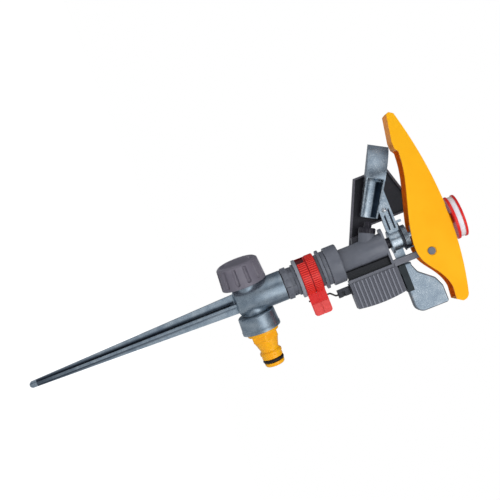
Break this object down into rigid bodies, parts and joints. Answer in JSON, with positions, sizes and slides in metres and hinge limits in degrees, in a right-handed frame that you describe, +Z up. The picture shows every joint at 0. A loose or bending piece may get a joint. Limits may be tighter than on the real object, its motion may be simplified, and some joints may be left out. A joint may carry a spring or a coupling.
{
  "type": "impulse sprinkler",
  "caption": "Impulse sprinkler on a four-finned ground spike: turning head with a sprung impact arm, sector rings, trip gear, tilting hood with knob, and a click-on hose inlet.",
  "frame": {"origin": "tip of the ground spike, on the axis of the riser", "axes": "+Z up the riser, +X the side that the nozzle points to, +Y the side the trough of the arm opens to"},
  "size_m": [0.1587, 0.042, 0.3657],
  "materials": {
    "zinc": "die-cast zinc, bluish, lightly mottled",
    "grey_plastic": "moulded grey with a soft sheen",
    "pale_plastic": "moulded light grey",
    "dark_plastic": "moulded dark grey",
    "black_plastic": "moulded near black",
    "yellow_plastic": "moulded amber yellow, satin gloss",
    "red_plastic": "moulded red, satin gloss",
    "silver_plastic": "pale silver, glossy",
    "white_acetal": "natural white acetal",
    "black_rubber": "moulded rubber",
    "spring_steel": "drawn steel wire and pins"
  },
  "bodies": {
    "base": {"spike_casting": "zinc", "hose_adaptor": "yellow_plastic", "adaptor_o_ring": "black_rubber", "adaptor_washer": "black_rubber", "nipple_seal": "black_rubber", "bearing_nipple": "grey_plastic", "ring_sleeve": "pale_plastic", "ring_retainer": "grey_plastic"},
    "cap_seal": {"cap_gasket": "black_rubber"},
    "cap": {"blanking_cap": "grey_plastic"},
    "ring_lower": {"sector_ring_lower": "red_plastic"},
    "ring_upper": {"sector_ring_upper": "red_plastic"},
    "head": {"bearing_spindle": "white_acetal", "bearing_washer": "white_acetal", "bearing_spring": "spring_steel", "sand_guard": "grey_plastic", "swivel_nut": "grey_plastic", "head_body": "grey_plastic", "nozzle_cap": "dark_plastic", "jet_nozzle": "dark_plastic", "nozzle_seal": "black_rubber", "splash_shield": "dark_plastic", "bridge_frame": "grey_plastic", "fulcrum_pin": "spring_steel", "fulcrum_bush": "dark_plastic", "hood_hinge_pin": "grey_plastic", "trip_housing": "grey_plastic", "trip_lever_pin": "spring_steel", "striker_pin": "spring_steel"},
    "arm": {"impact_arm": "zinc", "arm_sleeve": "white_acetal", "arm_bumper": "black_rubber", "spring_seat": "dark_plastic", "arm_spring": "spring_steel"},
    "lever": {"trip_lever": "black_plastic", "trip_wire": "spring_steel"},
    "striker": {"striker": "black_plastic", "trip_spring": "spring_steel"},
    "hood": {"top_hood": "yellow_plastic"},
    "knob": {"knob_base": "red_plastic", "knob_band": "silver_plastic", "knob_cap": "red_plastic", "knob_spindle": "white_acetal", "knob_clip": "spring_steel"}
  },
  "joints": [
    {"name": "head_spin", "type": "hinge", "parent": "base", "child": "head", "pos_m": [0, 0, 0.253], "axis": [0, 0, 1], "range_deg": [0, 220]},
    {"name": "ring_lower_turn", "type": "hinge", "parent": "base", "child": "ring_lower", "pos_m": [0, 0, 0.2333], "axis": [0, 0, 1], "range_deg": [-100, 0]},
    {"name": "ring_upper_turn", "type": "hinge", "parent": "base", "child": "ring_upper", "pos_m": [0, 0, 0.2407], "axis": [0, 0, 1], "range_deg": [-100, 0]},
    {"name": "arm_swing", "type": "hinge", "parent": "head", "child": "arm", "pos_m": [0, 0, 0.3105], "axis": [0, 0, 1], "range_deg": [0, 90], "stiffness_Nm_per_rad": 0.02, "springref_deg": -20.05, "deforming": ["arm_spring"]},
    {"name": "trip_rock", "type": "hinge", "parent": "head", "child": "lever", "pos_m": [-0.023, 0, 0.2682], "axis": [1, 0, 0], "range_deg": [-10, 0]},
    {"name": "striker_rock", "type": "hinge", "parent": "head", "child": "striker", "pos_m": [-0.023, 0.003, 0.2837], "axis": [1, 0, 0], "range_deg": [-30, 0], "deforming": ["trip_spring"]},
    {"name": "hood_tilt", "type": "hinge", "parent": "head", "child": "hood", "pos_m": [-0.0174, 0, 0.3323], "axis": [0, 1, 0], "range_deg": [-3, 0]},
    {"name": "knob_turn", "type": "hinge", "parent": "hood", "child": "knob", "pos_m": [0, 0, 0.361], "axis": [0, 0, 1], "range_deg": [0, 180]},
    {"name": "cap_travel", "type": "slide", "parent": "base", "child": "cap_seal", "axis": [0.9848, 0.1736, 0], "range_m": [0, 0.0126]},
    {"name": "cap_turn", "type": "hinge", "parent": "cap_seal", "child": "cap", "pos_m": [0.0197, 0.00347, 0.1863], "axis": [0.9848, 0.1736, 0], "range_deg": [0, 1620]}
  ],
  "couplings": [
    {"joint": "striker_rock", "follows": "trip_rock", "ratio": 3},
    {"joint": "hood_tilt", "follows": "knob_turn", "ratio": -0.016667},
    {"joint": "cap_travel", "follows": "cap_turn", "m_per_rad": 0.00044563}
  ]
}
